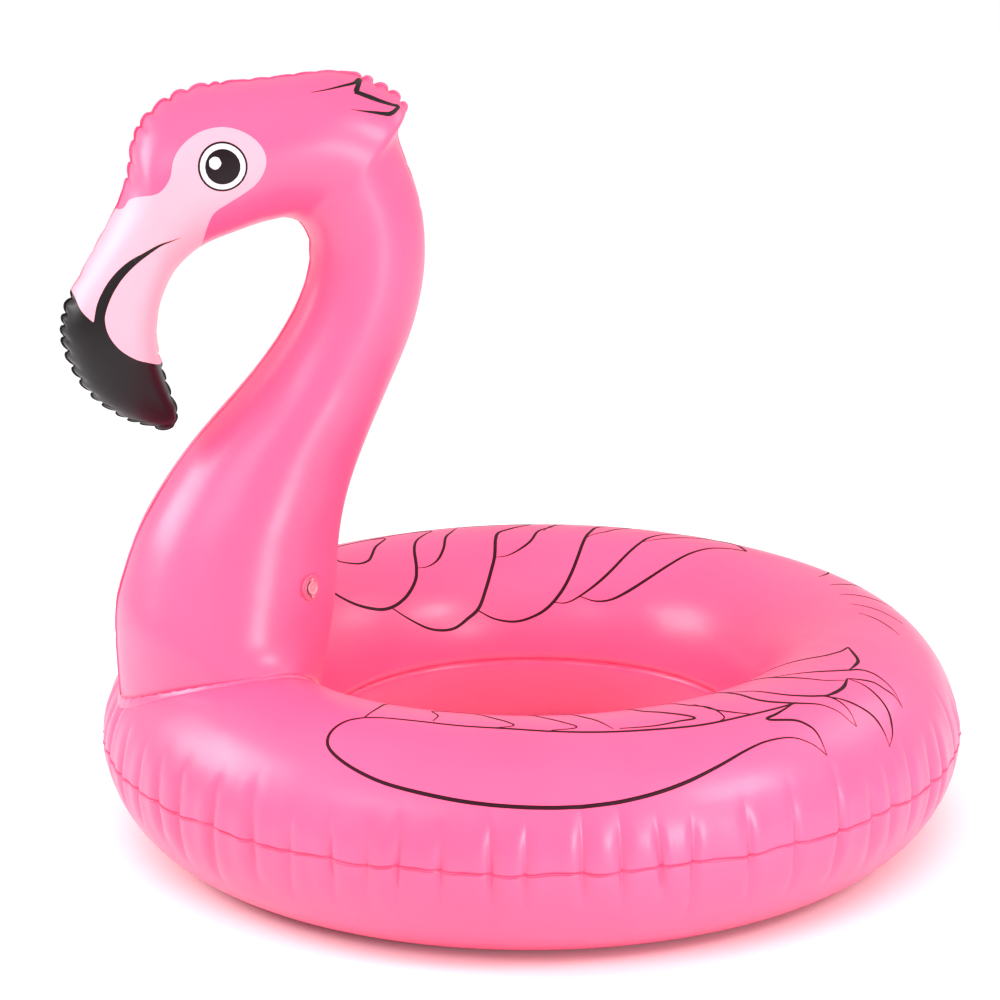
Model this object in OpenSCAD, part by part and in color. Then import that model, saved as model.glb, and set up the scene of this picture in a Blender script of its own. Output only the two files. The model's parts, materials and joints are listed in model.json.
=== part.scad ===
// Inflatable flamingo swim ring: a two-sheet air ring, and a two-panel neck and head
// standing on it, each air chamber with its own push-in valve.
// Millimetres. +Z is up, the floor is z = 0, the bird faces -X and its left side is -Y.

/* [Ring] */
// Distance from the ring's axis to the middle of the tube
ring_r = 341; // [300:1:400]
// Radius of the inflated tube
tube_r = 116; // [90:1:140]
// How far the tube's underside is flattened by resting on the floor
rest_flat = 1.7; // [0.5:0.1:4]
// How far the ring's axis stands behind the origin
ring_x = 14; // [0:1:30]
// Thickness of the modelled sheet
sheet_t = 1.2; // [1:0.1:2]
// Width of the welded edge outside the tube
outer_seam_w = 4; // [2:0.5:8]
// Width of the welded edge inside the hole
inner_seam_w = 3; // [2:0.5:8]
// Thickness of a welded edge
seam_t = 1.2; // [0.6:0.1:2]

/* [Neck and head] */
// Half length of the neck's foot in front of its middle
foot_front = 116; // [90:1:130]
// Half length of the neck's foot behind its middle
foot_rear = 90; // [70:1:110]
// Half width of the neck's foot
foot_side = 142; // [100:1:160]
// Distance of the foot's middle ahead of the ring's axis
foot_ahead = 325; // [300:1:350]
// Width of the welded edge round the neck and head
edge_seam_w = 3; // [2:0.5:6]
// Width of the weld where the neck stands on the ring
base_seam_w = 6; // [4:0.5:10]
// Rows modelled between two neck stations
rows_per_station = 2; // [1:1:4]
// Steps modelled round each panel
panel_steps = 18; // [8:1:24]

/* [Valves] */
// Where the ring's valve stands, in degrees round from the beak
ring_valve_angle = 35; // [30:1:60]
// How far up the neck its valve is set, in stations
neck_valve_row = 2.2; // [1.6:0.1:3]
// How far round the neck from the front its valve is set
neck_valve_turn = 129; // [100:1:140]
// Radius of a valve's welded base
base_r = 13; // [11:0.5:16]
// Radius of the opening in a valve's base
mouth_r = 8; // [7:0.5:10]
// Outside radius of a valve's stem
stem_r = 5.5; // [4:0.1:7]
// Radius of the bore in a valve's stem
bore_r = 3.9; // [3:0.1:5]
// Length of a valve's stem
stem_l = 14; // [10:1:20]
// How far the pushed-in stem stands above the sheet
stem_proud = 2; // [1:0.5:4]
// Radius of a plug's head
head_r = 7; // [5:0.5:9]

/* [Part] */
// Which piece to draw

/* [Hidden] */
$fn = 96;
seam_z = tube_r - rest_flat;
gap = 0.3;
foot_gap = 1.0;
last_station = 29;
rows = last_station * rows_per_station;
hot_pink = [1.0, 0.40, 0.60];
deep_pink = [0.92, 0.26, 0.48];
clear_pink = [1.0, 0.72, 0.80];

// Neck and head stations, from just above the foot to the tip of the beak:
// [front x, front z, rear x, rear z, half depth], the first four to the welded edge's outside
STATIONS = [
  [-432, 259, -201, 252, 128],
  [-424, 302, -195, 296, 116],
  [-408, 346, -191, 339, 105],
  [-386, 387, -182, 382, 95],
  [-356, 430, -168, 422, 84],
  [-322, 469, -149, 466, 76],
  [-286, 508, -130, 507, 69],
  [-254, 549, -112, 549, 66],
  [-231, 589, -99, 596, 64],
  [-220, 624, -95, 649, 62],
  [-220, 652, -106, 708, 62],
  [-228, 667, -123, 762, 64],
  [-242, 674, -114, 786, 64],
  [-258, 672, -146, 811, 66],
  [-278, 667, -190, 824, 68],
  [-301, 659, -255, 820, 69],
  [-324, 650, -326, 814, 68],
  [-343, 637, -371, 794, 65],
  [-357, 622, -393, 764, 61],
  [-366, 606, -399, 732, 57],
  [-372, 589, -414, 696, 53],
  [-375, 569, -433, 663, 50],
  [-375, 550, -453, 629, 48],
  [-372, 532, -468, 599, 46],
  [-368, 514, -474, 566, 42],
  [-363, 498, -466, 534, 36],
  [-358, 484, -446, 501, 28],
  [-356, 474, -411, 474, 17],
  [-360, 466, -384, 465, 7]];

// A point of the neck's foot: a is the angle round it from the front, k an inset, h a height
// above the tube's skin. The plan is egg-shaped and the height follows the tube.
function foot(a, k, h) =
  let (n = cos(a) > 0 ? 1.7 : 2.2,
       l = cos(a) > 0 ? foot_front : foot_rear,
       x = foot_ahead + sign(cos(a)) * (l - k) * pow(abs(cos(a)), 2 / n),
       y = -sign(sin(a)) * (foot_side - k) * pow(abs(sin(a)), 2 / n),
       v = acos((norm([x, y]) - ring_r) / (tube_r + h)))
  [ring_x - x, y, seam_z + (tube_r + h) * sin(v)];

// A point of station i at angle a from its front edge, inset by k
function section(i, a, k) =
  let (s = STATIONS[i - 1],
       f = [s[0], 0, s[1]],
       r = [s[2], 0, s[3]],
       w = norm(f - r))
  (f + r) / 2 + (f - r) / w * (w / 2 - edge_seam_w - k) * cos(a) - [0, (s[4] - k) * sin(a), 0];

function at_station(i, a, k) = i < 1 ? foot(a, k, foot_gap) : section(min(i, last_station), a, k);

function spline(p0, p1, p2, p3, t) =
  p1 + (p2 - p0) * t / 2 + (2 * p0 - 5 * p1 + 4 * p2 - p3) * t * t / 2
  + (3 * p1 - p0 - 3 * p2 + p3) * t * t * t / 2;

// A point of the neck's skin: s is measured in stations from the foot
function skin(s, a, k) =
  let (i = min(floor(s), last_station - 1),
       p0 = i == 0 ? 2 * at_station(0, a, k) - at_station(1, a, k) : at_station(i - 1, a, k))
  spline(p0, at_station(i, a, k), at_station(i + 1, a, k), at_station(i + 2, a, k), s - i);

// One panel: outer skin, inner skin, and the narrow faces that join them
module neck_panel() {
  n = panel_steps + 1;
  inner = (rows + 1) * n;
  points = concat(
    [for (j = [0:rows], m = [0:panel_steps])
      skin(j / rows_per_station, m * 180 / panel_steps, 0) - [0, gap, 0]],
    [for (j = [0:rows], m = [0:panel_steps])
      skin(min(j / rows_per_station, last_station - 0.3), m * 180 / panel_steps, sheet_t)
      - [0, gap, 0]]);
  faces = concat(
    [for (j = [0:rows - 1], m = [0:panel_steps - 1]) [j * n + m, j * n + m + 1, (j + 1) * n + m]],
    [for (j = [0:rows - 1], m = [0:panel_steps - 1])
      [j * n + m + 1, (j + 1) * n + m + 1, (j + 1) * n + m]],
    [for (j = [0:rows - 1], m = [0:panel_steps - 1])
      [inner + j * n + m + 1, inner + j * n + m, inner + (j + 1) * n + m]],
    [for (j = [0:rows - 1], m = [0:panel_steps - 1])
      [inner + (j + 1) * n + m + 1, inner + j * n + m + 1, inner + (j + 1) * n + m]],
    [for (j = [0:rows - 1]) [j * n, (j + 1) * n, inner + j * n]],
    [for (j = [0:rows - 1]) [(j + 1) * n, inner + (j + 1) * n, inner + j * n]],
    [for (j = [0:rows - 1]) [(j + 1) * n + n - 1, j * n + n - 1, inner + j * n + n - 1]],
    [for (j = [0:rows - 1])
      [inner + (j + 1) * n + n - 1, (j + 1) * n + n - 1, inner + j * n + n - 1]],
    [for (m = [0:panel_steps - 1]) [m + 1, m, inner + m]],
    [for (m = [0:panel_steps - 1]) [inner + m + 1, m + 1, inner + m]],
    [for (m = [1:panel_steps - 1]) [rows * n, rows * n + m, rows * n + m + 1]],
    [for (m = [1:panel_steps - 1])
      [inner + rows * n, inner + rows * n + m + 1, inner + rows * n + m]],
    [[rows * n, rows * n + n - 1, inner + rows * n],
     [rows * n + n - 1, inner + rows * n + n - 1, inner + rows * n]]);
  polyhedron(points, faces);
}

// Puts a valve's own frame, z outward from the sheet, on the ring's crown
module on_ring() {
  translate([ring_x - ring_r * cos(ring_valve_angle), ring_r * sin(ring_valve_angle),
             seam_z + tube_r])
    children();
}

// The same on the neck's left panel, square to the sheet
nv_pos = skin(neck_valve_row, neck_valve_turn, 0) - [0, gap, 0];
nv_up = skin(neck_valve_row + 0.1, neck_valve_turn, 0) - skin(neck_valve_row - 0.1, neck_valve_turn, 0);
nv_along = skin(neck_valve_row, neck_valve_turn + 4, 0) - skin(neck_valve_row, neck_valve_turn - 4, 0);
nv_out = cross(nv_along, nv_up);
nv_tilt = acos(nv_out[2] / norm(nv_out));
nv_yaw = atan2(nv_out[1], nv_out[0]);

module on_neck() {
  translate(nv_pos + 0.2 * nv_out / norm(nv_out))
    rotate([0, nv_tilt, nv_yaw])
      rotate(180)
        children();
}

module valve_hole() {
  translate([0, 0, -6])
    cylinder(r = mouth_r, h = 12);
}

module valve_base() {
  translate([0, 0, gap])
    difference() {
      cylinder(r = base_r, h = 1);
      translate([0, 0, -1])
        cylinder(r = mouth_r, h = 4);
    }
}

// Folded ring of thin sheet between the base's opening and the foot of the stem
module valve_bellows() {
  foot = stem_proud - stem_l;
  rotate_extrude()
    polygon([[mouth_r - 0.9, 1], [mouth_r - 1.2, foot + 0.7], [stem_r + 0.1, foot + 0.7],
             [stem_r + 0.1, foot], [mouth_r - 0.6, foot], [mouth_r - 0.3, -2], [mouth_r - 0.3, 1]]);
}

module valve_stem() {
  translate([0, 0, stem_proud - stem_l])
    difference() {
      cylinder(r = stem_r, h = stem_l);
      translate([0, 0, -1])
        cylinder(r = bore_r, h = stem_l + 2);
    }
}

// Peg, head and finger tab in one moulding
module valve_plug() {
  translate([0, 0, stem_proud - 8])
    cylinder(r = bore_r - 0.05, h = 8.1);
  translate([0, 0, stem_proud + 0.05])
    difference() {
      cylinder(r = head_r, h = 2);
      translate([0, 0, 1.2])
        cylinder(r = head_r - 2.2, h = 2);
    }
  translate([-head_r - 3, -2.5, stem_proud + 0.05])
    cube([4, 5, 1.2]);
}

// Bowed strap from the stem's rim to the edge of the plug's head
module valve_strap() {
  translate([0, 2, 0])
    rotate([90, 0, 0])
      linear_extrude(4)
        polygon([[stem_r + 0.05, 1.4], [9.5, 1.4], [10.4, 2.2], [10.4, 3.2], [9.6, 3.9],
                 [head_r + 0.1, 3.9], [head_r + 0.1, 3.1], [9.3, 3.1], [9.6, 2.7],
                 [9.2, 1.95], [stem_r + 0.05, 1.95]]);
}

// Check flap, hinged on the -x side of the stem's inner end
module valve_flap() {
  translate([0, 0, stem_proud - stem_l - 0.9])
    union() {
      cylinder(r = stem_r - 0.9, h = 0.8);
      translate([-stem_r, -1.5, 0])
        cube([2, 3, 0.8]);
    }
}

module ring_half(low) {
  translate([ring_x, 0, 0])
    rotate_extrude($fn = 180)
      difference() {
        intersection() {
          translate([ring_r, seam_z])
            circle(r = tube_r);
          translate([ring_r - tube_r - 1, low ? 0 : seam_z + 0.15])
            square([2 * tube_r + 2, low ? seam_z - 0.15 : tube_r + 2]);
        }
        intersection() {
          translate([ring_r, seam_z])
            circle(r = tube_r - sheet_t);
          translate([ring_r - tube_r - 1, sheet_t])
            square([2 * tube_r + 2, 2 * tube_r]);
        }
      }
}

module ring_top_sheet() {
  color(hot_pink)
    difference() {
      ring_half(false);
      on_ring()
        valve_hole();
    }
}

module ring_bottom_sheet() {
  color(hot_pink)
    ring_half(true);
}

module ring_flange(r_in, r_out) {
  translate([ring_x, 0, seam_z - seam_t / 2])
    difference() {
      cylinder(r = r_out, h = seam_t, $fn = 180);
      translate([0, 0, -1])
        cylinder(r = r_in, h = seam_t + 2, $fn = 180);
    }
}

module ring_outer_seam() {
  color(deep_pink)
    ring_flange(ring_r + tube_r + gap, ring_r + tube_r + outer_seam_w);
}

module ring_inner_seam() {
  color(deep_pink)
    ring_flange(ring_r - tube_r - inner_seam_w, ring_r - tube_r - gap);
}

module neck_left_panel() {
  color(hot_pink)
    difference() {
      neck_panel();
      on_neck()
        valve_hole();
    }
}

module neck_right_panel() {
  color(hot_pink)
    mirror([0, 1, 0])
      neck_panel();
}

// The outline of the neck and head, up the front edge and back down the rear
function edge_row(j) = j <= rows ? max(j / rows_per_station, 0.12) : max((2 * rows - j + 1) / rows_per_station, 0.12);
function edge_point(j) =
  let (p = skin(edge_row(j), j <= rows ? 0 : 180, 0))
  [p[0], p[2]];
function edge_side(j) =
  let (d = edge_point(min(j + 1, 2 * rows + 1)) - edge_point(max(j - 1, 0)))
  [-d[1], d[0]] / norm(d);

module neck_edge_seam() {
  color(deep_pink)
    translate([0, seam_t / 2, 0])
      rotate([90, 0, 0])
        linear_extrude(seam_t)
          polygon(concat(
            [for (j = [0:2 * rows + 1]) edge_point(j) + 0.2 * edge_side(j)],
            [for (j = [2 * rows + 1:-1:0]) edge_point(j) + edge_seam_w * edge_side(j)]));
}

// Flat weld lying on the tube all round the neck's foot
module neck_base_seam() {
  n = 60;
  points = [for (j = [0:n - 1], c = [[-0.6, 0.4], [-base_seam_w, 0.4], [-base_seam_w, 1.4], [-0.6, 1.4]])
    foot(j * 360 / n, c[0], c[1])];
  faces = concat(
    [for (j = [0:n - 1], c = [0:3])
      [4 * j + c, 4 * ((j + 1) % n) + c, 4 * j + (c + 1) % 4]],
    [for (j = [0:n - 1], c = [0:3])
      [4 * ((j + 1) % n) + c, 4 * ((j + 1) % n) + (c + 1) % 4, 4 * j + (c + 1) % 4]]);
  color(deep_pink)
    polyhedron(points, faces);
}

module ring_valve_base() {
  color(clear_pink)
    on_ring()
      valve_base();
}

module ring_valve_bellows() {
  color(clear_pink)
    on_ring()
      valve_bellows();
}

module ring_valve_stem() {
  color(clear_pink)
    on_ring()
      valve_stem();
}

module ring_valve_strap() {
  color(clear_pink)
    on_ring()
      valve_strap();
}

module ring_valve_plug() {
  color(clear_pink)
    on_ring()
      valve_plug();
}

module ring_valve_flap() {
  color(clear_pink)
    on_ring()
      valve_flap();
}

module neck_valve_base() {
  color(clear_pink)
    on_neck()
      valve_base();
}

module neck_valve_bellows() {
  color(clear_pink)
    on_neck()
      valve_bellows();
}

module neck_valve_stem() {
  color(clear_pink)
    on_neck()
      valve_stem();
}

module neck_valve_strap() {
  color(clear_pink)
    on_neck()
      valve_strap();
}

module neck_valve_plug() {
  color(clear_pink)
    on_neck()
      valve_plug();
}

module neck_valve_flap() {
  color(clear_pink)
    on_neck()
      valve_flap();
}

ring_top_sheet();
ring_bottom_sheet();
ring_outer_seam();
ring_inner_seam();
neck_left_panel();
neck_right_panel();
neck_edge_seam();
neck_base_seam();
ring_valve_base();
ring_valve_bellows();
ring_valve_stem();
ring_valve_strap();
ring_valve_plug();
ring_valve_flap();
neck_valve_base();
neck_valve_bellows();
neck_valve_stem();
neck_valve_strap();
neck_valve_plug();
neck_valve_flap();
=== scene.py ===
"""Looks of an inflatable flamingo swim ring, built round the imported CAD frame.

The shape code works in millimetres in the frame's own axes: the bird faces -X, its left side is -Y
and the floor is z = 0. new_mesh() turns millimetres into Blender's metres.
"""

import json
import math
import random

import bmesh
import bpy
import numpy as np
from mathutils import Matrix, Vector


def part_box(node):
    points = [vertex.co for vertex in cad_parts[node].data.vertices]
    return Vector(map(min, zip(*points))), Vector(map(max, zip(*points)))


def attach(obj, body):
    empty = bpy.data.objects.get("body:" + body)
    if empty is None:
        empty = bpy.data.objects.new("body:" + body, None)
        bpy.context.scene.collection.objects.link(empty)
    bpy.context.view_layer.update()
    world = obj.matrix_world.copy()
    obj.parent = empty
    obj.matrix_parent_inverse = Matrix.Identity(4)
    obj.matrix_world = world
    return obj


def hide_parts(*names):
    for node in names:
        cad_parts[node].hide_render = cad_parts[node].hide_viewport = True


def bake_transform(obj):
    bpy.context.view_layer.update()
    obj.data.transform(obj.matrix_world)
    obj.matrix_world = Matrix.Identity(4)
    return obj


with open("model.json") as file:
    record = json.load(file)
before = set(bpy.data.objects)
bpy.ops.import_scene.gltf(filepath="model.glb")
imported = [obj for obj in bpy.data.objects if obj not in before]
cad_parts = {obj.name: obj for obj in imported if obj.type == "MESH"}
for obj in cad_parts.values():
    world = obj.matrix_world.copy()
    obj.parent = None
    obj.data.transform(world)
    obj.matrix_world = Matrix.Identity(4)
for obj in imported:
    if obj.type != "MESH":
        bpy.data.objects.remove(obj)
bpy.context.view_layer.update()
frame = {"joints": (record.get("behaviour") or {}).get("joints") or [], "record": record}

MM = 0.001            # a millimetre in Blender's metres
PI = math.pi
DEGREE = PI / 180

# -------------------- sizes, from the frame

top_lo, top_hi = (np.array(corner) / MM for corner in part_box("ring_top_sheet"))
SHEET_GAP = 0.15      # from the plane of the outer weld up to the top sheet's edge
RING_X = (top_lo[0] + top_hi[0]) / 2
SEAM_Z = top_lo[2] - SHEET_GAP
TUBE_R = top_hi[2] - SEAM_Z
RING_R = (top_hi[0] - top_lo[0]) / 2 - TUBE_R
OUTER_R = RING_R + TUBE_R

FILM = 0.8            # thickness of the sheets
INNER_SAG = 7         # how far the inner weld hangs below the outer one
PANEL_GAP = 0.25      # each neck panel's edge to the middle plane

# The neck's foot on the ring, an egg-shaped plan round a centre ahead of the ring's axis
FOOT_AHEAD = 325      # the ring's axis to the foot's centre
FOOT_FRONT = 116      # that centre to the foot's front, rear and sides
FOOT_REAR = 90
FOOT_SIDE = 142
FRONT_POWER = 1.7     # powers of the plan's two halves, each a superellipse
REAR_POWER = 2.2
FOOT_LIFT = 1.0       # the panels' lower edge over the ring's skin
EDGE_WELD = 3         # the panels' edges to the outline that the stations give

# Neck and head, foot to beak: [front x, front z, rear x, rear z, half depth]
STATIONS = [
    [-432, 259, -201, 252, 128],
    [-424, 302, -195, 296, 116],
    [-408, 346, -191, 339, 105],
    [-386, 387, -182, 382, 95],
    [-356, 430, -168, 422, 84],
    [-322, 469, -149, 466, 76],
    [-286, 508, -130, 507, 69],
    [-254, 549, -112, 549, 66],
    [-231, 589, -99, 596, 64],
    [-220, 624, -95, 649, 62],
    [-220, 652, -106, 708, 62],
    [-228, 667, -123, 762, 64],
    [-242, 674, -114, 786, 64],
    [-258, 672, -146, 811, 66],
    [-278, 667, -190, 824, 68],
    [-301, 659, -255, 820, 69],
    [-324, 650, -326, 814, 68],
    [-343, 637, -371, 794, 65],
    [-357, 622, -393, 764, 61],
    [-366, 606, -399, 732, 57],
    [-372, 589, -414, 696, 53],
    [-375, 569, -433, 663, 50],
    [-375, 550, -453, 629, 48],
    [-372, 532, -468, 599, 46],
    [-368, 514, -474, 566, 42],
    [-363, 498, -466, 534, 36],
    [-358, 484, -446, 501, 28],
    [-356, 474, -411, 474, 17],
    [-360, 466, -384, 465, 7],
]
LAST = len(STATIONS)      # s runs from 0 at the foot to LAST, and on to LAST + 1 round the tip
TIP_ROUND = 5             # how far the beak's tip bulges past the last station
TIP_STEPS = 9             # mesh rows round the tip


# -------------------- mesh helpers

def new_mesh(name, points, faces, material, smooth=True):
    """A mesh object from points in millimetres."""
    mesh = bpy.data.meshes.new(name)
    mesh.from_pydata((np.asarray(points, float) * MM).tolist(), [], faces)
    mesh.validate()
    if smooth:
        mesh.shade_smooth()
    piece = bpy.data.objects.new(name, mesh)
    bpy.context.scene.collection.objects.link(piece)
    for item in material if isinstance(material, list) else [material]:
        mesh.materials.append(item)
    return piece


def grid_faces(rows, columns, wrap_rows=False, wrap_columns=False, flip=False):
    """Quads between neighbouring points of a rows x columns grid."""
    faces = []
    for i in range(rows if wrap_rows else rows - 1):
        for j in range(columns if wrap_columns else columns - 1):
            k, m = (i + 1) % rows, (j + 1) % columns
            quad = [i * columns + j, i * columns + m, k * columns + m, k * columns + j]
            faces.append(quad[::-1] if flip else quad)
    return faces


def curve_through(points, steps):
    """Catmull-Rom curve through given points, with steps points to each span."""
    p = np.asarray(points, float)
    p = np.vstack([2 * p[0] - p[1], p, 2 * p[-1] - p[-2]])
    out = []
    for i in range(1, len(p) - 2):
        a, b, c, d = p[i - 1:i + 3]
        for t in np.arange(steps) / steps:
            out.append(b + (c - a) * t / 2 + (2 * a - 5 * b + 4 * c - d) * t ** 2 / 2
                       + (3 * b - a - 3 * c + d) * t ** 3 / 2)
    return np.array(out + [p[-2]])


def unit(v):
    """Vectors of length 1."""
    return v / np.maximum(np.linalg.norm(v, axis=-1, keepdims=True), 1e-9)


def lengths_along(points):
    """Distance of each point of a line from the line's start."""
    return np.concatenate([[0], np.cumsum(np.linalg.norm(np.diff(points, axis=0), axis=1))])


def waves(angle, *terms):
    """Sum of sine waves, each given as its height, its number of waves a turn and its phase."""
    return sum(height * np.sin(number * angle + phase) for height, number, phase in terms)


def closer_at_ends(steps, share):
    """Even steps from 0 to 1, drawn closer together towards 0 and 1."""
    return steps - share * np.sin(2 * PI * steps) / (2 * PI)


def capped_tube_faces(path_count, section_count):
    """Faces of a tube of path_count sections with section_count points each, ends capped."""
    faces = grid_faces(path_count, section_count, False, True)
    faces.append(list(range(section_count))[::-1])
    faces.append([(path_count - 1) * section_count + i for i in range(section_count)])
    return faces


def joined(parts):
    """Points and faces of several meshes as one."""
    points, faces = [], []
    for part_points, part_faces in parts:
        faces += [[i + len(points) for i in face] for face in part_faces]
        points += list(part_points)
    return points, faces


def fix_normals(piece):
    """Turns every face of a closed piece outward."""
    bm = bmesh.new()
    bm.from_mesh(piece.data)
    bmesh.ops.remove_doubles(bm, verts=bm.verts, dist=1e-6)
    bmesh.ops.recalc_face_normals(bm, faces=bm.faces)
    bm.to_mesh(piece.data)
    bm.free()


def give_thickness(piece, thickness):
    """Turns a skin into a film with its outer face where the skin is."""
    film = piece.modifiers.new("film", "SOLIDIFY")
    film.thickness = thickness * MM
    film.offset = -1


# -------------------- creases

def crease_places(length, spacing, rng):
    """Uneven places along a seam, spacing apart on average."""
    count = max(2, round(length / spacing))
    steps = [rng.uniform(0.68, 1.32) for _ in range(count)]
    ends = np.cumsum(steps)
    return (ends - steps[0] / 2) * length / ends[-1]


FOLD_POWER = 1.25           # how sharply a crease's fold ends
SHOULDER_PLACE = 4.2        # the proud film beside a fold: its place and width in the fold's widths
SHOULDER_WIDTH = 2.4
SHOULDER_HEIGHT = 0.34      # and its height as a share of the fold's depth


def crease_depth(along, across, width, reach, depth):
    """Depth of one crease that runs square to a seam. along is the distance from the crease,
    across the distance from the seam. Beside the fold the film stands a little proud."""
    fade = np.cos(np.clip(np.abs(across) / reach, 0, 1) * PI / 2) ** 2
    fold = np.exp(-np.abs(along / (width * (1 + np.abs(across) / reach))) ** FOLD_POWER)
    shoulder = np.exp(-((np.abs(along) - SHOULDER_PLACE * width) / (SHOULDER_WIDTH * width)) ** 2)
    return depth * fade * (fold - SHOULDER_HEIGHT * shoulder)


# Creases that run up and down from the ring's outer weld
RING_CREASE_SPACING = 46
ring_rng = random.Random(21)
RING_CREASES = [
    {
        "angle": place / OUTER_R,
        "depth": ring_rng.uniform(2.8, 5.2),
        "up": ring_rng.uniform(58, 98),
        "down": ring_rng.uniform(50, 84),
        "slant": ring_rng.uniform(-0.08, 0.08),
        "width": ring_rng.uniform(2.4, 3.6),
    }
    for place in crease_places(2 * PI * OUTER_R, RING_CREASE_SPACING, ring_rng)
]


def ring_crease(theta, v):
    """Inward move of the ring's film at angle theta round the ring and v round the tube."""
    across = TUBE_R * np.asarray(v)
    total = np.zeros(np.broadcast(theta, v).shape)
    for c in RING_CREASES:
        turn = (theta - c["angle"] + PI) % (2 * PI) - PI
        reach = np.where(across > 0, c["up"], c["down"])
        along = turn * OUTER_R - c["slant"] * across
        total += crease_depth(along, across, c["width"], reach, c["depth"])
    return total


def foot_distance(x, y):
    """Distance in plan outward from the neck's foot."""
    ahead = RING_X - x - FOOT_AHEAD
    power = np.where(ahead > 0, FRONT_POWER, REAR_POWER)
    length = np.where(ahead > 0, FOOT_FRONT, FOOT_REAR)
    share = (np.abs(ahead / length) ** power + np.abs(y / FOOT_SIDE) ** power) ** (1 / power)
    return (share - 1) * np.hypot(ahead, y) / np.maximum(share, 0.2)


SKIN_INSET = 1        # the skin lies this far inside the CAD's, as room for its unevenness
DIP_DEPTH = 0.3       # the dent along the outer weld
DIP_WIDTH = 2.2
WANDER_REACH = 24     # how far from the outer weld its wander up and down is felt
SAG_REACH = 45        # how far from the inner weld its sag is felt
VALLEY_DEPTH = 1.5    # the groove that the foot's weld pulls into the ring
VALLEY_WIDTH = 9
SWELL_HEIGHT = 0.8    # and the swelling round that groove
SWELL_PLACE = 30
SWELL_WIDTH = 16
FLOOR_GAP = 0.3       # the skin's lowest point over the floor


def ring_skin(theta, v, lift=0.0):
    """Point of the inflated ring. theta is 0 at the beak and grows to the bird's left, v is 0 at
    the outer weld, a quarter turn at the crown and a half turn at the inner weld."""
    theta, v = np.broadcast_arrays(np.asarray(theta, float), np.asarray(v, float))
    across = TUBE_R * v
    uneven = waves(theta, (0.9, 3, 1)) + waves(theta, (0.6, 5, 2 * v + 2)) * np.cos(v)
    uneven = uneven * np.clip(1 + np.sin(v), 0, 1)
    r = TUBE_R + lift - ring_crease(theta, v) + uneven - SKIN_INSET
    r = r - DIP_DEPTH * np.exp(-(across / DIP_WIDTH) ** 2)
    rho = RING_R + r * np.cos(v)
    wander = waves(theta, (1.1, 23, 1), (0.8, 37, 0), (0.7, 11, 2))
    sag = INNER_SAG * np.exp(-((PI - np.abs(v)) * TUBE_R / SAG_REACH) ** 2)
    z = SEAM_Z + r * np.sin(v) + wander * np.exp(-(across / WANDER_REACH) ** 2) - sag
    x = RING_X - rho * np.cos(theta)
    y = -rho * np.sin(theta)
    gap = foot_distance(x, y)
    valley = VALLEY_DEPTH * np.exp(-(gap / VALLEY_WIDTH) ** 2)
    swell = SWELL_HEIGHT * np.exp(-((gap - SWELL_PLACE) / SWELL_WIDTH) ** 2)
    upper_side = np.sin(v) > 0.2
    z = z - (valley - swell) * upper_side
    return np.stack([x, y, np.maximum(z, FLOOR_GAP)], -1)


# -------------------- neck and head skin

def foot(a, height):
    """The foot's line at that height over the ring's skin. a is 0 in front and grows leftward."""
    c, s = np.cos(a), np.sin(a)
    power = np.where(c > 0, FRONT_POWER, REAR_POWER)
    length = np.where(c > 0, FOOT_FRONT, FOOT_REAR)
    ahead = FOOT_AHEAD + np.sign(c) * length * np.abs(c) ** (2 / power)
    y = -np.sign(s) * FOOT_SIDE * np.abs(s) ** (2 / power)
    v = np.arccos((np.hypot(ahead, y) - RING_R) / (TUBE_R + height))
    return np.stack([RING_X - ahead, y, SEAM_Z + (TUBE_R + height) * np.sin(v)], -1)


def section(station, a):
    """The left panel's half ellipse at a station, from the front edge round to the rear edge."""
    front_x, front_z, rear_x, rear_z, half_depth = station
    front = np.array([front_x, 0, front_z])
    rear = np.array([rear_x, 0, rear_z])
    width = np.linalg.norm(front - rear)
    ahead = (front - rear) / width * (width / 2 - EDGE_WELD)
    side = np.array([0, -half_depth, 0])
    return (front + rear) / 2 + np.outer(np.cos(a), ahead) + np.outer(np.sin(a), side)


def smooth_spline(knots, s):
    """Natural cubic spline through knots[0], knots[1], ... for each column at its own s."""
    n = len(knots)
    system = np.diag(np.full(n, 4.0)) + np.diag(np.ones(n - 1), 1) + np.diag(np.ones(n - 1), -1)
    system[0, 0] = system[-1, -1] = 2
    after = np.concatenate([knots[1:], knots[-1:]])
    before = np.concatenate([knots[:1], knots[:-1]])
    slopes = np.linalg.solve(system, (3 * (after - before)).reshape(n, -1)).reshape(knots.shape)
    i = np.clip(np.floor(s).astype(int), 0, n - 2)
    t = (s - i)[:, None]
    column = np.arange(len(s))
    p, q = knots[i, column], knots[i + 1, column]
    m, k = slopes[i, column], slopes[i + 1, column]
    return (p * (2 * t ** 3 - 3 * t ** 2 + 1) + m * (t ** 3 - 2 * t ** 2 + t)
            + q * (3 * t ** 2 - 2 * t ** 3) + k * (t ** 3 - t ** 2))


def bare_neck(s, a):
    """Smooth neck skin without creases. s is in stations from the foot, a is 0 at the front edge
    and a half turn at the rear edge."""
    s, a = np.broadcast_arrays(np.asarray(s, float), np.asarray(a, float))
    shape, s, a = s.shape, s.ravel(), a.ravel()
    knots = np.stack([foot(a, FOOT_LIFT)] + [section(station, a) for station in STATIONS])
    points = smooth_spline(knots, np.minimum(s, LAST))
    past = np.clip(s - LAST, 0, 1)[:, None] * PI / 2
    front_x, front_z, rear_x, rear_z, _ = STATIONS[-1]
    centre = np.array([(front_x + rear_x) / 2, 0, (front_z + rear_z) / 2])
    rounded = centre + (points - centre) * np.cos(past) - np.array([0, 0, TIP_ROUND]) * np.sin(past)
    return np.where(past > 0, rounded, points).reshape(*shape, 3)


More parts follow.
